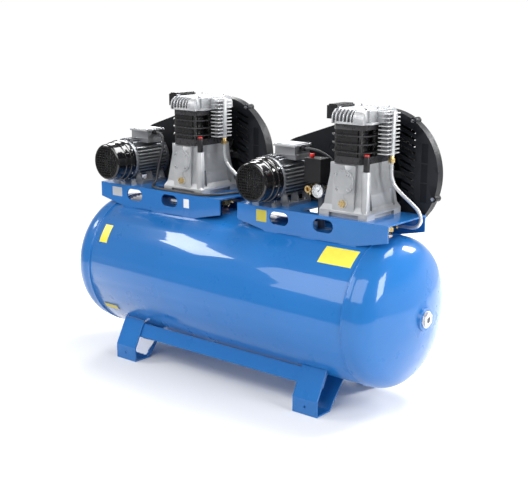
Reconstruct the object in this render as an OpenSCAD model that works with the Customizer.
// Twin stack air compressor: two belt-driven piston pumps on one horizontal receiver.
// Frame: origin on the floor under the middle of the tank, +X along the tank, -Y the front, +Z up.
// Lengths are in millimetres.

/* [Tank] */
// Outer radius of the tank
tank_r = 250; // [240:1:260]
// Height of the tank's axis above the floor
tank_z = 334; // [330:1:340]
// Distance between the two welded end seams
seam_len = 1152; // [1100:2:1200]
// Thickness of the tank's wall
tank_wall = 4; // [3:0.5:5]

/* [Feet] */
// Length of each foot along the tank
foot_len = 100; // [80:1:120]
// Distance from the tank's middle to the middle of a foot
foot_x = 420; // [400:1:430]
// Radius of the floor bolt holes
floor_hole_r = 6; // [4:0.5:8]

/* [Base plates] */
// Length of one base plate
plate_len = 606; // [600:1:610]
// Width of the base plate over its flanges
plate_w = 223; // [220:1:226]
// Height of the base plate's top above the floor
plate_top = 641; // [640:1:645]
// Distance between the middles of the two base plates
plate_pitch = 686; // [680:1:692]

/* [Machines] */
// Distance between the two crankshafts
machine_pitch = 698; // [696:1:700]
// Place of the point midway between the two crankshafts
machine_mid = 119; // [117:1:121]
// Distance from the crankshaft to the motor shaft
motor_gap = 323; // [320:1:325]
// Height of the crankshaft above the base plate
crank_z = 116; // [114:1:118]
// Height of the motor shaft above the base plate
motor_z = 88; // [87:1:90]
// Stroke of each piston
stroke = 46; // [40:1:48]
// Radius of each cylinder bore
bore_r = 34; // [30:0.5:35]

/* [Drive] */
// Outer radius of the flywheel
flywheel_r = 132; // [126:1:134]
// Outer radius of the motor pulley
pulley_r = 50; // [46:1:54]
// Outer radius of the belt guard
guard_r = 207; // [204:1:210]

/* [Hidden] */

$fn = 64;
blue = [0.10, 0.38, 0.78];
cast = [0.74, 0.75, 0.76];
black = [0.07, 0.07, 0.08];
steel = [0.66, 0.67, 0.69];
brass = [0.78, 0.60, 0.26];

function side_sign(side) = side == "left" ? -1 : 1;
function unit_x(side) = machine_mid + side_sign(side) * machine_pitch / 2;

// Moves children from a machine's own frame, with its crankshaft at x = 0 and its plate at z = 0
module at_unit(side) translate([unit_x(side), 0, plate_top]) children();
module both_units() {
  at_unit("left") children();
  at_unit("right") children();
}
// Four copies, mirrored in X and in Y
module four() {
  for (mx = [0, 1])
    for (my = [0, 1])
      mirror([mx, 0, 0]) mirror([0, my, 0]) children();
}
// A cylinder along X or along Y, starting at the origin
module x_rod(r, len) rotate([0, 90, 0]) cylinder(r = r, h = len);
module y_rod(r, len) rotate([-90, 0, 0]) cylinder(r = r, h = len);
// Extrudes a profile drawn in X and Z along +Y
module xz_plate(depth) translate([0, depth, 0]) rotate([90, 0, 0]) linear_extrude(depth) children();
// Extrudes a profile drawn in Y and Z along +X
module yz_plate(depth) rotate([90, 0, 90]) linear_extrude(depth) children();
module block(low, high) translate(low) cube(high - low);
// Octagonal outline: half sizes and corner chamfer
module octagon(hx, hy, cut) polygon([
  [-hx + cut, -hy], [hx - cut, -hy], [hx, -hy + cut], [hx, hy - cut],
  [hx - cut, hy], [-hx + cut, hy], [-hx, hy - cut], [-hx, -hy + cut]
]);

// ---------- tank ----------
head_crown = 1.8 * tank_r;
head_knuckle = 0.3468 * tank_r;
knuckle_x = tank_r - head_knuckle;
crown_drop = sqrt(pow(head_crown - head_knuckle, 2) - pow(knuckle_x, 2));
head_flange = 20;
head_depth = head_crown - crown_drop;
head_end_x = seam_len / 2 + head_flange + head_depth;
plug_end_x = head_end_x + 16;

bead_r = 3.2;
bead_in = 1.2;
valve_port_r = 11;
relief_port_r = 9;
post_r = 12;
module tank_shell() color(blue) difference() {
  translate([-seam_len / 2, 0, tank_z]) x_rod(tank_r, seam_len, $fn = 128);
  translate([-seam_len / 2 - 1, 0, tank_z]) x_rod(tank_r - tank_wall, seam_len + 2, $fn = 128);
  for (x = [-seam_len / 2, seam_len / 2]) translate([x, 0, tank_z]) rotate([0, 90, 0]) weld_bead();
  for (side = ["left", "right"]) port(unit_x(side) + valve_x, valve_y, valve_port_r);
  port(post_x, manifold_y, post_r);
  port(relief_x, 0, relief_port_r);
  translate([drain_x, 0, tank_z - tank_r - 10]) cylinder(r = valve_port_r, h = 30);
}
module port(x, y, r) translate([x, y, tank_z]) cylinder(r = r, h = tank_r + 10);
module weld_bead() rotate_extrude($fn = 128) translate([tank_r - bead_in, 0]) circle(bead_r, $fn = 24);

// Half profile of a dished end: crown arc and knuckle arc, pulled in by t
module head_profile(t) {
  intersection() {
    translate([0, -crown_drop]) circle(head_crown - t, $fn = 256);
    polygon([[0, -crown_drop], [0, head_crown], [2 * knuckle_x, crown_drop]]);
    translate([0, -1]) square([tank_r, tank_r]);
  }
  intersection() {
    translate([knuckle_x, 0]) circle(head_knuckle - t, $fn = 96);
    translate([0, -1]) square([tank_r, tank_r]);
  }
  translate([0, -1]) square([knuckle_x, 1 + head_knuckle / 2]);
}

module dished_end() {
  rotate_extrude($fn = 128) {
    difference() {
      head_profile(0);
      head_profile(tank_wall);
      translate([-1, -2]) square([tank_r + 2, 2]);
    }
    translate([tank_r - tank_wall, -head_flange]) square([tank_wall, head_flange]);
  }
  translate([0, 0, -head_flange]) weld_bead();
}

module tank_ends() color(blue)
  for (m = [0, 1]) mirror([m, 0, 0]) translate([seam_len / 2 + head_flange, 0, tank_z])
    rotate([0, 90, 0]) difference() {
      union() {
        dished_end();
        translate([0, 0, head_depth - 12]) cylinder(r = 38, h = 19);
      }
      translate([0, 0, head_depth - 30]) cylinder(r = 20, h = 60);
    }

module tank_plugs() color(steel)
  for (m = [0, 1]) mirror([m, 0, 0]) translate([head_end_x, 0, tank_z]) rotate([0, 90, 0])
    difference() {
      union() {
        translate([0, 0, -16]) cylinder(r = 20, h = 23);
        translate([0, 0, 7]) cylinder(r = 28, h = 4);
        translate([0, 0, 11]) cylinder(r = 25, h = 5, $fn = 6);
      }
      translate([0, 0, 4]) cylinder(r = 11, h = 20, $fn = 6);
    }

// ---------- feet ----------
foot_t = 6;
foot_front = 221;
foot_back = 148;
foot_mid_y = (foot_front + foot_back) / 2;

module foot_outline() polygon([
  [-foot_front, 0], [-foot_front, 54], [-158, 173], [-152.6, 170],
  [-foot_front + foot_t, 52.4], [-foot_front + foot_t, foot_t],
  [-foot_back - 2.8, foot_t], [-66.6, 105], [-62, 101], [-foot_back, 0]
]);

module tank_feet() color(blue) four()
  difference() {
    translate([foot_x - foot_len / 2, 0, 0]) yz_plate(foot_len) foot_outline();
    translate([-seam_len / 2, 0, tank_z]) x_rod(tank_r, seam_len, $fn = 128);
    translate([foot_x, -foot_mid_y, -1]) cylinder(r = floor_hole_r, h = foot_t + 2);
    translate([foot_x, -foot_front - 1, 27]) y_rod(4, foot_t + 2);
  }

// A slanted flat bar welded along the inner face of the feet's front strips
rail_from = 47;
rail_w = 52;
rail_t = 5;
strip_low = [-foot_front + foot_t, 52.4];
strip_high = [-152.6, 170];
strip_along = unit(strip_high - strip_low);
strip_in = [strip_along[1], -strip_along[0]];
module foot_rails() color(blue)
  for (m = [0, 1]) mirror([0, m, 0])
    translate([-foot_x - foot_len / 2, 0, 0]) yz_plate(2 * foot_x + foot_len) polygon([
      for (c = [[0, 0], [1, 0], [1, 1], [0, 1]])
        strip_low + (rail_from + c[0] * rail_w) * strip_along + (0.05 + c[1] * rail_t) * strip_in
    ]);

// ---------- base plates ----------
plate_t = 5;
flange_mid = 81;
flange_end = 55;
flange_run = 121;
flange_y = plate_w / 2;
slot_xs = [181, 361];
slot_r = 21.5;
slot_half = 18.5;
slot_drop = 33;
plate_hole_x = 250;
plate_hole_len = 80;
plate_hole_hw = 82;

module flange_outline() difference() {
  polygon([
    [0, 0], [plate_len, 0], [plate_len, -flange_end], [plate_len - flange_run, -flange_mid],
    [flange_run, -flange_mid], [0, -flange_end]
  ]);
  for (x = slot_xs) {
    for (d = [-slot_half, slot_half]) translate([x + d, -slot_drop]) circle(slot_r);
    translate([x - slot_half, -slot_drop - slot_r]) square([2 * slot_half, 2 * slot_r]);
  }
}

module weld_tabs() difference() {
  for (x = [flange_run + 26, plate_len / 2, plate_len - flange_run - 26])
    for (s = [-1, 1])
      translate([x - 30, s * (flange_y - plate_t / 2) - plate_t / 2, -flange_mid - 12])
        cube([60, plate_t, 12 + plate_t]);
  translate([-50, 0, tank_z - plate_top]) x_rod(tank_r, plate_len + 100, $fn = 128);
}

module base_plate(side)
  color(blue) translate([side_sign(side) * plate_pitch / 2 - plate_len / 2, 0, plate_top]) {
    difference() {
      translate([0, -flange_y, -plate_t]) cube([plate_len, plate_w, plate_t]);
      translate([plate_hole_x, -plate_hole_hw, -plate_t - 1])
        cube([plate_hole_len, 2 * plate_hole_hw, plate_t + 2]);
    }
    for (y = [-flange_y, flange_y - plate_t]) translate([0, y, 0]) xz_plate(plate_t) flange_outline();
    weld_tabs();
  }

// ---------- pump ----------
case_hx = 92;
case_hy = 98;
case_top = 172;
case_wall = 7;
arch_h = 14;
journal_r = 15;
bearing_r = 28;
bearing_w = 14;
col_x = 76;
col_y = -84;
col_r = 14;
oil_z = 46;

module case_front() polygon([
  [-case_hx, 0], [-case_hx, 20], [-80, 38], [-62, 140], [-62, case_top],
  [64, case_top], [66, 140], [82, 38], [case_hx, 20], [case_hx, 0]
]);
module case_side() polygon([
  [-case_hy, 0], [-case_hy, 20], [-90, 38], [-82, 140], [-82, case_top],
  [82, case_top], [82, 140], [90, 38], [case_hy, 20], [case_hy, 0]
]);
module case_body() intersection() {
  translate([0, -case_hy, 0]) xz_plate(2 * case_hy) case_front();
  translate([-case_hx, 0, 0]) yz_plate(2 * case_hx) case_side();
}
module crankcase(side) color(cast) at_unit(side) difference() {
  union() {
    case_body();
    block([-42, -97, 18], [40, -60, 168]);
    block([-42, 60, 18], [40, 97, 168]);
    translate([0, -101, crank_z]) y_rod(39, 202);
    translate([-3, -99, crank_z]) cube([6, 20, 52]);
    translate([-3, -99, 30]) cube([6, 20, 60]);
    translate([0, -100, oil_z]) y_rod(15, 20);
    translate([col_x, col_y, 2]) cylinder(r = col_r, h = 150);
    for (z = [44 : 16 : 124]) block([50, -52, z], [88 - 0.19 * z, 62, z + 4]);
  }
  // crank chamber and its open top
  block([-52, -68, 22], [52, 68, 150]);
  translate([0, 0, 149]) linear_extrude(30) octagon(46, 82 - case_wall, 12);
  // bearing bores, front and rear
  translate([0, -110, crank_z]) y_rod(bearing_r, 220);
  // arched feet
  block([-54, -110, -1], [58, -88, arch_h]);
  block([-54, 88, -1], [58, 110, arch_h]);
  block([-110, -54, -1], [-82, 58, arch_h]);
  block([82, -54, -1], [110, 58, arch_h]);
  block([-70, -76, -1], [70, 76, arch_h - 4]);
  // oil filler and breather bores
  translate([0, -110, oil_z]) y_rod(9, 60);
  translate([col_x, col_y, 90]) cylinder(r = 8, h = 80);
  // foot bolt holes
  for (x = [-76, 76]) for (y = [-66, 66]) translate([x, y, -1]) cylinder(r = 4.5, h = 26);
  for (x = [-76, 76]) for (y = [-66, 66]) translate([x, y, 24]) cylinder(r = 11, h = 60);
}

module bearing_covers() color(cast) both_units() {
  difference() {
    union() {
      translate([0, -104, crank_z]) y_rod(33, 3);
      translate([0, -101, crank_z]) y_rod(27.9, 6);
      for (a = [45 : 90 : 315])
        translate([33 * cos(a), -104, crank_z + 33 * sin(a)]) y_rod(7.5, 3);
    }
    for (a = [45 : 90 : 315])
      translate([33 * cos(a), -105, crank_z + 33 * sin(a)]) y_rod(3, 6);
  }
}

module ball_bearings() color(steel) both_units() {
  for (y = [-95, 86 - bearing_w / 2]) translate([0, y, crank_z]) difference() {
    y_rod(bearing_r, bearing_w);
    translate([0, -1, 0]) y_rod(journal_r + 0.05, bearing_w + 2);
  }
  for (y = [-81, 78]) translate([-motor_gap, y, motor_z]) difference() {
    y_rod(24, 12);
    translate([0, -1, 0]) y_rod(12.05, 14);
  }
}

breather_z = 152;
module breathers() both_units() {
  color(black) translate([col_x, col_y, breather_z - 14]) cylinder(r = 7.9, h = 14);
  color(black) translate([col_x, col_y, breather_z]) difference() {
    cylinder(r = 9.9, h = 50);
    translate([0, 0, 46]) cylinder(r = 8, h = 5);
  }
  color([0.75, 0.1, 0.1]) translate([col_x, col_y, breather_z + 46]) cylinder(r = 7.9, h = 7);
  color(brass) translate([0, -102, oil_z]) {
    y_rod(8.9, 20);
    translate([0, -6, 0]) y_rod(12, 8, $fn = 6);
  }
}

block_top = 296;
fin_zs = [206, 232, 258];
cyl_y = 38;
block_in = 6;
module cylinder_block(side) color(black) at_unit(side) difference() {
  union() {
    translate([block_in, 0, case_top]) linear_extrude(22) octagon(58, 88, 14);
    translate([block_in, 0, block_top - 18]) linear_extrude(18) octagon(60, 90, 14);
    for (z = fin_zs) translate([2, 0, z]) linear_extrude(4) octagon(70, 94, 26);
    for (y = [-cyl_y, cyl_y]) translate([0, y, case_top]) cylinder(r = bore_r + 9, h = block_top - case_top);
    for (x = [-42, 48]) for (y = [-78, -8, 8, 78])
      translate([x, y, case_top]) cylinder(r = 7, h = block_top - case_top);
    block([-40, -84, case_top], [40, -40, block_top]);
    block([-40, 40, case_top], [40, 84, block_top]);
  }
  for (y = [-cyl_y, cyl_y]) translate([0, y, case_top - 1]) cylinder(r = bore_r, h = 140);
}

// Head: a cored casting with curved vertical fins, and a finned aftercooler on its right side
head_top = 340;
head_fin_r = 30;
cooler_x = 110;
cooler_y = 5;
module head_fin_outline() intersection() {
  translate([-100, block_top]) square([200, head_top - block_top]);
  union() {
    for (s = [-1, 1]) translate([s * (100 - head_fin_r), head_top - head_fin_r]) circle(head_fin_r);
    translate([-100 + head_fin_r, block_top]) square([200 - 2 * head_fin_r, head_top - block_top]);
    translate([-100, block_top]) square([200, head_top - block_top - head_fin_r]);
  }
}
module cylinder_head(side) color(cast) at_unit(side) difference() {
  union() {
    translate([8, 0, block_top]) linear_extrude(7) octagon(74, 100, 30);
    block([-58, -72, block_top], [74, 72, head_top - 2]);
    for (x = [-50 : 14 : 20]) translate([x, 0, 0]) yz_plate(4.5) head_fin_outline();
    translate([30, 0, 0]) yz_plate(38) head_fin_outline();
    block([60, cooler_y - 34, block_top + 4], [98, cooler_y + 34, head_top - 6]);
    // aftercooler
    block([78, cooler_y - 14, 206], [104, cooler_y + 14, head_top - 8]);
    for (i = [0 : 10]) block([80, cooler_y - 36, 202 + 12.4 * i], [cooler_x + 4, cooler_y + 36, 205.5 + 12.4 * i]);
    translate([cooler_x, cooler_y, 198]) cylinder(r = 9, h = 138);
  }
  // valve chambers over the two bores
  for (y = [-cyl_y, cyl_y]) translate([0, y, block_top - 1]) cylinder(r = 26, h = 22);
  // passages to the aftercooler and down its tube
  translate([10, cooler_y, block_top + 14]) x_rod(5, cooler_x - 10);
  translate([cooler_x, cooler_y, 190]) cylinder(r = 5, h = block_top + 14 - 190);
}

module air_filters() color(black) both_units() difference() {
  union() {
    block([-98, -58, 304], [-58, 40, 346]);
    block([-94, -54, 346], [-61, 36, 350]);
    block([-102, -50, 306], [-98, 32, 340]);
  }
  block([-90, -50, 308], [-66, 32, 338]);
  for (y = [-40 : 12 : 20]) block([-103, y, 312], [-89, y + 5, 334]);
}

// ---------- running gear ----------
throw_r = stroke / 2;
web_r = 34;
web_t = 10;
pin_r = 11;
piston_r = bore_r - 0.08;
piston_h = 46;
piston_top_z = block_top - 2;
crank_nose_y = 176;

// One throw: two webs and a pin between them, with the pin above (up = 1) or below the axis
module crank_throw(y, up) {
  for (d = [-21, 11]) translate([0, y + d, 0]) difference() {
    union() {
      y_rod(web_r, web_t);
      translate([-16, 0, up > 0 ? 0 : -42]) cube([32, web_t, 42]);
    }
    translate([-50, -1, up > 0 ? 34 : -54]) cube([100, web_t + 2, 20]);
  }
  translate([0, y - 12, up * throw_r]) y_rod(pin_r, 24);
}
module crankshaft(side) color(steel) at_unit(side) translate([0, 0, crank_z]) {
  translate([0, -94, 0]) y_rod(journal_r, 40);
  crank_throw(-cyl_y, 1);
  translate([0, -20, 0]) y_rod(journal_r, 40);
  crank_throw(cyl_y, -1);
  translate([0, 54, 0]) y_rod(journal_r, crank_nose_y - 54);
}

// A piston with its gudgeon pin and the upper part of its connecting rod; drop is its distance below the top
module piston(side, y, drop) color(cast) at_unit(side) translate([0, y, piston_top_z - drop]) {
  difference() {
    translate([0, 0, -piston_h]) cylinder(r = piston_r, h = piston_h);
    translate([0, 0, -piston_h - 1]) cylinder(r = bore_r - 6, h = piston_h - 7);
    for (z = [-6, -12]) translate([0, 0, z - 3]) difference() {
      cylinder(r = bore_r + 1, h = 2);
      translate([0, 0, -1]) cylinder(r = bore_r - 3, h = 4);
    }
  }
  for (z = [-6, -12]) translate([0, 0, z - 2.8]) difference() {
    cylinder(r = piston_r, h = 1.6);
    translate([0, 0, -1]) cylinder(r = bore_r - 2.9, h = 4);
  }
  translate([0, -28, -26]) y_rod(8, 56);
  difference() {
    union() {
      translate([0, -9, -26]) y_rod(14, 18);
      block([-8, -6, -86], [8, 6, -36]);
    }
    translate([0, -10, -26]) y_rod(8, 20);
  }
}

flywheel_y = 132;
flywheel_w = 24;
groove_w = 13;
groove_d = 10;
belt_w = 12;
belt_h = 8;
belt_gap = 0.3;
spokes = 5;
spoke_w = 22;
hub_r = 30;
module flywheel(side) color([0.25, 0.26, 0.28]) at_unit(side) translate([0, flywheel_y, crank_z])
  rotate([-90, 0, 0]) {
    rotate_extrude($fn = 128) difference() {
      translate([flywheel_r - 22, 0]) square([22, flywheel_w]);
      translate([flywheel_r - groove_d, (flywheel_w - groove_w) / 2]) square([groove_d + 1, groove_w]);
    }
    difference() {
      union() {
        cylinder(r = hub_r, h = flywheel_w + 6);
        for (a = [0 : 360 / spokes : 359]) rotate([0, 0, a])
          translate([0, -spoke_w / 2, 5]) cube([flywheel_r - 15, spoke_w, 12]);
      }
      translate([0, 0, -1]) cylinder(r = journal_r, h = flywheel_w + 20);
    }
  }

module motor_pulley(side) color([0.25, 0.26, 0.28])
  at_unit(side) translate([-motor_gap, flywheel_y, motor_z]) rotate([-90, 0, 0])
    difference() {
      union() {
        cylinder(r = pulley_r, h = flywheel_w);
        cylinder(r = 24, h = flywheel_w + 6);
      }
      translate([0, 0, -1]) cylinder(r = 12, h = flywheel_w + 20);
      translate([0, 0, (flywheel_w - groove_w) / 2]) difference() {
        cylinder(r = pulley_r + 1, h = groove_w);
        translate([0, 0, -1]) cylinder(r = pulley_r - groove_d, h = groove_w + 2);
      }
    }

// Points along an arc, and a loop around two circles joined by their outer tangents
arc_step = 3;
function arc(c, r, a0, a1) = let (n = ceil(abs(a1 - a0) / arc_step))
  [for (i = [0 : n]) c + r * [cos(a0 + (a1 - a0) * i / n), sin(a0 + (a1 - a0) * i / n)]];
function span_angle(c1, c2) = atan2(c2[1] - c1[1], c2[0] - c1[0]) + 360;
function lean(c1, r1, c2, r2) = acos((r1 - r2) / norm(c2 - c1));
function loop(c1, r1, c2, r2) = let (a = span_angle(c1, c2) % 360, b = lean(c1, r1, c2, r2))
  concat(arc(c1, r1, a + b, a + 360 - b), arc(c2, r2, a - b, a + b));
crank_c = [0, crank_z];
motor_c = [-motor_gap, motor_z];

module drive_belt(side) color([0.05, 0.05, 0.05])
  at_unit(side) translate([0, flywheel_y + (flywheel_w - belt_w) / 2, 0]) xz_plate(belt_w) difference() {
    belt_outline(belt_gap + belt_h);
    belt_outline(belt_gap);
  }
module belt_outline(out)
  polygon(loop(crank_c, flywheel_r - groove_d + out, motor_c, pulley_r - groove_d + out));

// ---------- belt guard ----------
guard_y = 127;
guard_mid_y = 150;
guard_end_y = 192;
guard_t = 2.5;
rim_w = 10;
dish_in = 22;
guard_c = [0, 121];
tail_c = [-motor_gap, 92];
tail_r = 119;
tail_main_r = 196;
guard_base = tail_c[1] - tail_r;
// Outline of the guard: round over the flywheel, a straight top line down to the tail, and a flat base.
// in pulls it inwards
function guard_points(in) = let (
    a = span_angle(guard_c, tail_c) % 360 - lean(guard_c, tail_main_r, tail_c, tail_r),
    hit = a + acos((tail_main_r - in) / (guard_r - in)),
    start = -asin((guard_c[1] - guard_base - in) / (guard_r - in))
  ) concat(arc(guard_c, guard_r - in, start, hit), arc(tail_c, tail_r - in, a, 270));
module guard_outline(in) polygon(guard_points(in));
module guard_slots(tilt, phase) for (i = [0 : 10])
  translate([92, 48 + phase + 22 * i]) rotate(tilt) translate([-30, -3.5]) square([60, 7]);
lug_angles = [58, 128, -20];
lug_r = 11;
lug_hole_r = 4;
// Rods through the lugs around the rim, in the guard half's own frame
module lug_rods(r, y, len) for (a = lug_angles)
  translate([(guard_r - 2) * cos(a), y, guard_c[1] + (guard_r - 2) * sin(a)]) y_rod(r, len);

module guard_inner(side) color(black) at_unit(side) translate([0, guard_y, 0]) {
  difference() {
    union() {
      xz_plate(guard_t) guard_outline(0);
      xz_plate(guard_mid_y - guard_y) difference() {
        guard_outline(0);
        guard_outline(guard_t);
      }
      lug_rods(lug_r, 0, guard_mid_y - guard_y);
    }
    lug_rods(lug_hole_r, -1, 40);
    // opening for the pump's rear end and for the motor shaft
    xz_cut() polygon([[-70, -40], [-70, 120], [-46, 176], [50, 176], [72, 120], [72, -40]]);
    translate([-motor_gap, -1, motor_z]) y_rod(30, 10);
    xz_cut() guard_slots(-22, 0);
    xz_cut() mirror([1, 0]) guard_slots(-22, 0);
    translate([-200, -1, 184]) y_rod(17, 2.2);
    difference() {
      block([144, -1, 34], [168, 1, 226]);
      for (z = [97, 160]) block([140, -2, z], [170, 2, z + 3]);
    }
  }
  // spacers that hold the guard to the base plate's rear flange
  for (x = [-300, 130]) translate([x, flange_y - guard_y, -16]) y_rod(8, guard_y - flange_y);
}
module xz_cut() translate([0, -1, 0]) xz_plate(guard_t + 2) children();

module guard_outer(side) color(black) at_unit(side) translate([0, guard_mid_y, 0]) difference() {
  union() {
    xz_plate(rim_w) guard_outline(0);
    xz_plate(guard_end_y - guard_mid_y) guard_outline(dish_in);
    lug_rods(lug_r, 0, rim_w);
  }
  translate([0, -1, 0]) xz_plate(1 + rim_w - guard_t) guard_outline(guard_t);
  translate([0, -1, 0]) xz_plate(guard_end_y - guard_mid_y + 1 - guard_t) guard_outline(dish_in + guard_t);
  translate([0, guard_end_y - guard_mid_y - guard_t, 0]) xz_cut() guard_slots(24, 4);
  translate([0, guard_end_y - guard_mid_y - guard_t, 0]) xz_cut() mirror([1, 0]) guard_slots(24, 4);
  lug_rods(lug_hole_r, -1, 40);
}

// ---------- motor ----------
motor_r = 68;
motor_fin_r = 76;
motor_front_y = -84;
motor_back_y = 92;
stator_r = 60;
rotor_r = 40;
fan_front_y = -168;

module motor_section() difference() {
  intersection() {
    circle(motor_fin_r + 4);
    union() {
      circle(motor_r);
      for (z = [-48 : 12 : 48]) translate([-90, z - 1.75]) square([180, 3.5]);
      for (x = [-42 : 14 : 42]) translate([x - 1.75, 0]) square([3.5, 79]);
    }
    translate([-90, -motor_fin_r]) square([180, 160]);
  }
  circle(stator_r);
}
// One of the two foot bars with its triangular ribs
module motor_foot() {
  block([50, -62, 0], [80, 62, 12]);
  for (y = [-62, -6, 56]) translate([0, y, 0]) xz_plate(6) polygon([[46, 10], [80, 10], [60, 62], [46, 62]]);
}
module motor_housing(side) color([0.55, 0.56, 0.58]) at_unit(side) translate([-motor_gap, 0, 0])
  difference() {
    union() {
      translate([0, -68, motor_z]) xz_plate(144) motor_section();
      for (y = [motor_front_y, 76]) translate([0, y, motor_z]) y_rod(74, 16);
      difference() {
        for (m = [0, 1]) mirror([m, 0, 0]) motor_foot();
        translate([0, -70, motor_z]) y_rod(motor_r - 1, 140);
      }
      block([-14, -24, motor_z + 64], [76, 62, motor_z + 80]);
    }
    translate([0, -68, motor_z]) y_rod(stator_r, 144);
    for (y = [-81, 66]) translate([0, y, motor_z]) y_rod(24, 24);
    translate([0, -90, motor_z]) y_rod(16, 200);
    for (x = [-65, 65]) for (y = [-45, 45]) translate([x, y, -1]) cylinder(r = 4.5, h = 20);
  }

module stators() color([0.5, 0.35, 0.2]) both_units() translate([-motor_gap, 0, motor_z]) difference() {
  union() {
    translate([0, -46, 0]) y_rod(stator_r, 92);
    translate([0, -62, 0]) y_rod(stator_r - 6, 124);
  }
  translate([0, -70, 0]) y_rod(rotor_r + 0.8, 140);
}

fan_hub_y = -146;
module motor_rotor(side) color(steel) at_unit(side) translate([-motor_gap, 0, motor_z]) {
  translate([0, fan_hub_y - 4, 0]) y_rod(12, crank_nose_y - fan_hub_y);
  difference() {
    translate([0, -48, 0]) y_rod(rotor_r, 96);
    translate([0, -50, 0]) y_rod(12, 100);
  }
  difference() {
    union() {
      translate([0, fan_hub_y, 0]) y_rod(20, 26);
      translate([0, fan_hub_y + 18, 0]) y_rod(56, 3);
      for (a = [0 : 45 : 315]) rotate([0, a, 0]) block([16, fan_hub_y, -1.5], [56, fan_hub_y + 19, 1.5]);
    }
    translate([0, fan_hub_y - 1, 0]) y_rod(12, 40);
  }
}

// Stepped round cowl: [distance from the front, outer radius]
fan_profile = [[0, 61], [4, 66], [38, 69], [39, 72], [60, 73], [61, 76], [84, 76]];
fan_wall = 2.5;
module fan_cover(side) color(black)
  at_unit(side) translate([-motor_gap, fan_front_y, motor_z]) rotate([-90, 0, 0]) {
    rotate_extrude($fn = 96) polygon([
      for (p = fan_profile) [p[1], p[0]],
      for (i = [len(fan_profile) - 1 : -1 : 0]) [fan_profile[i][1] - fan_wall, fan_profile[i][0]]
    ]);
    linear_extrude(3) {
      difference() {
        circle(60);
        circle(56);
      }
      intersection() {
        circle(57);
        union() {
          for (d = [-54 : 9 : 54]) translate([d - 1.6, -60]) square([3.2, 120]);
          for (d = [-54 : 9 : 54]) translate([-60, d - 1.6]) square([120, 3.2]);
        }
      }
      circle(9);
    }
  }

box_z = motor_z + 80;
module terminal_box(side) color([0.62, 0.63, 0.65]) at_unit(side) translate([-motor_gap, 0, box_z])
  difference() {
    union() {
      block([-12, -22, 0], [72, 60, 26]);
      block([-17, -27, 26], [77, 65, 32]);
      block([-9, -19, 32], [69, 57, 35]);
    }
    block([-8, -18, 3], [68, 56, 24]);
    translate([60, gland_y, gland_z - box_z]) x_rod(7, 20);
  }

// ---------- discharge tubes ----------
gland_y = 10;
gland_z = 190;
valve_x = 88;
valve_y = 38;
valve_z = -29;
tube_d = 12;
// Centre line of a discharge tube in a machine's frame, from the aftercooler to the check valve
tube_route = [
  [110, 5, 176], [110, 5, 160], [110, 5, 144], [112, 6, 128], [117, 8, 112], [126, 12, 97], [138, 16, 83],
  [152, 21, 69], [167, 26, 55], [182, 31, 41], [195, 35, 26], [203, 37, 9], [203, 38, -8],
  [193, 38, -22], [177, 38, -29], [159, 38, -30], [140, 38, -30], [120, 38, -30]
];

module cord_tube(route, d, sides) {
  n = len(route);
  // Unit vector along the route at point i
  tangents = [for (i = [0 : n - 1]) unit(route[min(i + 1, n - 1)] - route[max(i - 1, 0)])];
  frames = carried(tangents, 0, [across(tangents[0])]);
  points = [for (i = [0 : n - 1]) for (k = [0 : sides - 1])
    route[i] + d / 2 * (cos(360 * k / sides) * frames[i]
      + sin(360 * k / sides) * cross(tangents[i], frames[i]))];
  walls = [for (i = [0 : n - 2]) for (k = [0 : sides - 1])
    [i * sides + k, i * sides + (k + 1) % sides, (i + 1) * sides + (k + 1) % sides, (i + 1) * sides + k]];
  polyhedron(points = points, faces = concat([for (w = walls) [w[3], w[2], w[1], w[0]]],
    [[for (k = [0 : sides - 1]) k]], [[for (k = [sides - 1 : -1 : 0]) (n - 1) * sides + k]]), convexity = 8);
}
function unit(v) = v / norm(v);
function across(t) = unit(cross(t, abs(t[2]) < 0.9 ? [0, 0, 1] : [1, 0, 0]));
// Carries the first cross direction along the route without twist
function carried(ts, i, out) = i == len(ts) - 1 ? out :
  carried(ts, i + 1, concat(out, [unit(out[i] - (out[i] * ts[i + 1]) * ts[i + 1])]));

module discharge_tubes() color(steel) both_units() cord_tube(tube_route, tube_d, 12);

module tube_fittings() color(brass) both_units() {
  // aftercooler outlet: union nut and reducer
  translate([cooler_x, cooler_y, 188]) cylinder(r = 8, h = 10);
  translate([cooler_x, cooler_y, 176]) cylinder(r = 12, h = 12, $fn = 6);
  // check valve in the tank's top, with its inlet nut facing the tube
  translate([valve_x, valve_y, 0]) {
    translate([0, 0, -64]) cylinder(r = valve_port_r, h = 20);
    translate([0, 0, -52]) cylinder(r = 17, h = 36, $fn = 6);
    translate([14, 0, -30]) x_rod(8, 18);
    translate([20, 0, -30]) x_rod(11, 12, $fn = 6);
  }
}

// ---------- pressure switch, gauge and outlet, on the right machine ----------
sw_low = [285, -60, 736];
sw_high = [351, -4, 812];
sw_gland_z = 752;
cable_d = 9;
knob_x = 304;
knob_y = -42;
knob_r = 8.5;
manifold_y = -32;
gauge_x = 345.5;
gauge_z = 709;
gauge_r = 22.5;
gauge_y = -60;
outlet_x = 309;
outlet_z = 712;
outlet_r = 6;
outlet_end_y = -72;
outlet_len = 16;

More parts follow.
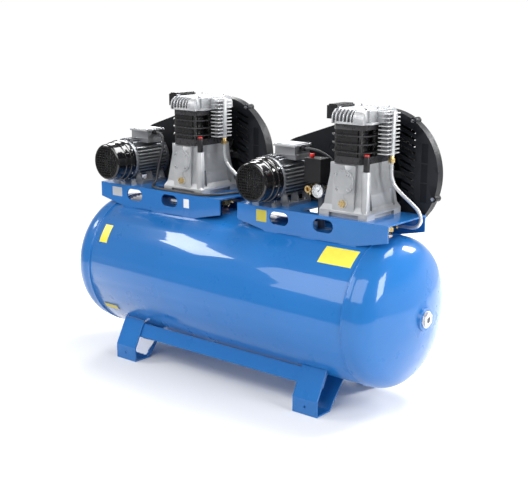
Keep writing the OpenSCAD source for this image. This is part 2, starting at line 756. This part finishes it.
post_x = 337;
module switch_post() color([0.35, 0.37, 0.4]) difference() {
  translate([post_x, manifold_y, 570]) union() {
    cylinder(r = post_r, h = 70);
    translate([0, 0, 70]) cylinder(r1 = post_r, r2 = 9.5, h = 56);
  }
  translate([-seam_len / 2, 0, tank_z]) x_rod(tank_r - 10, seam_len, $fn = 128);
  translate([post_x, manifold_y, 560]) cylinder(r = 4, h = 140);
}
module outlet_fitting() color(brass) difference() {
  union() {
    block([300, manifold_y - 13, 700], [352, manifold_y + 13, 722]);
    translate([post_x, manifold_y, 696]) cylinder(r = 13, h = 8, $fn = 6);
    translate([318, manifold_y, 722]) cylinder(r = 9, h = 9);
    translate([outlet_x, outlet_end_y, outlet_z]) y_rod(12.5, 14);
    translate([outlet_x, outlet_end_y + 10, outlet_z]) y_rod(10, 30);
    translate([gauge_x, gauge_y + 12, gauge_z]) y_rod(5, 10);
    translate([outlet_x, -56, outlet_z - 20]) cylinder(r = 4, h = 14);
  }
  translate([outlet_x, outlet_end_y - 1, outlet_z]) y_rod(outlet_r, outlet_len + 1);
}
module switch_base() color(black) difference() {
  union() {
    block([287, -58, 731], [349, -6, 736]);
    block([293, -50, 736], [343, -14, 746]);
  }
  translate([318, manifold_y, 720]) cylinder(r = 4, h = 30);
}
module switch_cover() color(black) difference() {
  block(sw_low, sw_high);
  block(sw_low + [2.5, 2.5, -1], sw_high - [2.5, 2.5, 2.5]);
  translate([knob_x, knob_y, 800]) cylinder(r = 5.05, h = 20);
  for (x = [303, 335]) translate([x, -8, sw_gland_z]) y_rod(5, 8);
}
module switch_knob() color([0.85, 0.08, 0.06]) translate([knob_x, knob_y, 0]) {
  translate([0, 0, 790]) cylinder(r = 5, h = 26);
  translate([0, 0, 814]) cylinder(r = 6, h = 2);
  translate([0, 0, 816]) cylinder(r = knob_r, h = 9);
}
module gauge_case() color(steel) translate([gauge_x, gauge_y - 8, gauge_z]) difference() {
  union() {
    y_rod(gauge_r, 4);
    translate([0, 4, 0]) y_rod(gauge_r - 1.5, 16);
  }
  translate([0, -1, 0]) y_rod(gauge_r - 3, 9);
}
module gauge_glass() color([0.85, 0.92, 0.95, 0.35])
  translate([gauge_x, gauge_y - 7.5, gauge_z]) y_rod(gauge_r - 3, 1.5);
module gauge_needle() color(black) translate([gauge_x, 0, gauge_z]) {
  translate([0, gauge_y - 4, 0]) y_rod(2.2, 3);
  translate([0, gauge_y - 3.4, 0]) rotate([0, -40, 0]) {
    block([-6, 0, -0.7], [15.5, 0.8, 0.7]);
  }
}

// ---------- valves on the tank ----------
drain_x = 0;
module drain_valve() color(brass) difference() {
  translate([drain_x, 0, 0]) union() {
    translate([0, 0, tank_z - tank_r - 16]) cylinder(r = 11, h = 20);
    translate([0, 0, tank_z - tank_r - 36]) cylinder(r = 14, h = 20, $fn = 6);
    translate([0, -30, tank_z - tank_r - 26]) y_rod(8, 30);
    translate([0, -40, tank_z - tank_r - 26]) y_rod(11, 12, $fn = 6);
  }
  translate([drain_x, -60, tank_z - tank_r - 26]) y_rod(4, 50);
}
module drain_handle() color([0.8, 0.1, 0.08]) translate([drain_x, 0, tank_z - tank_r - 36.3]) {
  translate([0, 0, -5]) cylinder(r = 8, h = 5);
  block([-6, -46, -5], [6, 0, -2]);
}
relief_x = 10;
relief_top = tank_z + tank_r;
module safety_valve() color(brass) translate([relief_x, 0, relief_top]) difference() {
  union() {
    translate([0, 0, -8]) cylinder(r = relief_port_r, h = 14);
    translate([0, 0, 4]) cylinder(r = 14, h = 10, $fn = 6);
    translate([0, 0, 14]) cylinder(r = 11, h = 24);
  }
  translate([0, 0, 20]) cylinder(r = 3, h = 30);
}
module safety_ring() color(steel) translate([relief_x, 0, relief_top]) {
  translate([0, 0, 28]) cylinder(r = 2.95, h = 16);
  translate([0, 1.5, 54]) rotate([90, 0, 0]) difference() {
    cylinder(r = 12, h = 3);
    translate([0, 0, -1]) cylinder(r = 9, h = 5);
  }
}

// ---------- cables ----------
// Left motor to switch: down beside the left pump, along its plate, across to the right plate, up to the switch
left_cable_route = [
  [-463, 10, 831], [-450, 10, 829], [-438, 10, 822], [-430, 9, 810], [-427, 8, 795], [-429, 6, 775],
  [-434, 3, 750], [-440, 0, 725], [-444, -4, 700], [-444, -10, 678], [-440, -20, 661], [-433, -34, 650],
  [-424, -50, 646], [-412, -67, 646], [-396, -83, 646], [-375, -96, 646], [-350, -104, 646],
  [-320, -106, 646], [-280, -106, 646], [-240, -106, 646], [-200, -106, 646], [-160, -106, 646],
  [-132, -101, 646], [-110, -88, 646], [-94, -69, 646], [-84, -46, 646], [-78, -20, 646],
  [-70, 8, 646], [-56, 34, 646], [-36, 56, 645], [-10, 74, 644], [20, 84, 645], [50, 89, 646],
  [90, 90, 646], [130, 90, 646], [170, 90, 646], [210, 88, 646], [244, 81, 646], [268, 72, 648],
  [285, 64, 655], [296, 58, 668], [302, 54, 685], [304, 50, 704], [304, 45, 722], [303, 36, 738],
  [303, 24, 748], [303, 10, 752]
];
// Right motor to switch: out of the terminal box, down behind the switch and into its back
right_cable_route = [
  [235, 10, 831], [248, 10, 831], [264, 12, 830], [280, 17, 827], [296, 24, 820], [310, 32, 811],
  [322, 39, 800], [331, 44, 786], [335, 44, 773], [335, 38, 762], [335, 26, 754], [335, 10, 752]
];
module left_motor_cable() color([0.2, 0.2, 0.21]) cord_tube(left_cable_route, cable_d, 10);
module right_motor_cable() color([0.2, 0.2, 0.21]) cord_tube(right_cable_route, cable_d, 10);

module cable_glands() color(black) {
  both_units() translate([-motor_gap + 66, gland_y, gland_z]) {
    x_rod(6.9, 13);
    translate([12, 0, 0]) x_rod(10, 6, $fn = 6);
    translate([18, 0, 0]) x_rod(8.5, 6);
  }
  for (x = [303, 335]) translate([x, 0, sw_gland_z]) {
    translate([0, -7, 0]) y_rod(4.9, 6);
    translate([0, -4, 0]) y_rod(10, 5, $fn = 6);
    translate([0, 1, 0]) y_rod(9, 9);
  }
}

// ---------- fasteners ----------
module bolt_z(r) {
  cylinder(r = r, h = 3);
  translate([0, 0, 3]) cylinder(r = 0.72 * r, h = 5, $fn = 6);
}
module fasteners() color(steel) {
  both_units() {
    // pump foot bolts and motor foot bolts
    for (x = [-76, 76]) for (y = [-66, 66]) translate([x, y, 24]) bolt_z(9);
    for (x = [-65, 65]) for (y = [-45, 45]) translate([x - motor_gap, y, 12]) bolt_z(8);
    // bearing cover bolts
    for (a = [45 : 90 : 315])
      translate([33 * cos(a), -109, crank_z + 33 * sin(a)]) y_rod(5, 5, $fn = 6);
    // cylinder head nuts
    for (x = [-44, 60]) for (y = [-66, 0, 66])
      if (x > 0 || y != 0) translate([x, y, head_top]) cylinder(r = 7, h = 5, $fn = 6);
    // guard bolts
    for (a = lug_angles)
      translate([(guard_r - 2) * cos(a), guard_y - 5, guard_c[1] + (guard_r - 2) * sin(a)])
        y_rod(6.5, 5, $fn = 6);
  }
}

tank_shell();
tank_ends();
tank_feet();
foot_rails();
tank_plugs();
drain_valve();
drain_handle();
safety_valve();
safety_ring();
switch_post();
switch_base();
switch_cover();
switch_knob();
gauge_case();
gauge_glass();
gauge_needle();
outlet_fitting();
left_motor_cable();
right_motor_cable();
cable_glands();
bearing_covers();
breathers();
air_filters();
discharge_tubes();
tube_fittings();
ball_bearings();
stators();
fasteners();
for (s = ["left", "right"]) {
  base_plate(s);
  motor_housing(s);
  fan_cover(s);
  motor_rotor(s);
  motor_pulley(s);
  terminal_box(s);
  crankcase(s);
  cylinder_block(s);
  cylinder_head(s);
  crankshaft(s);
  piston(s, -cyl_y, 0);
  piston(s, cyl_y, stroke);
  flywheel(s);
  drive_belt(s);
  guard_inner(s);
  guard_outer(s);
}
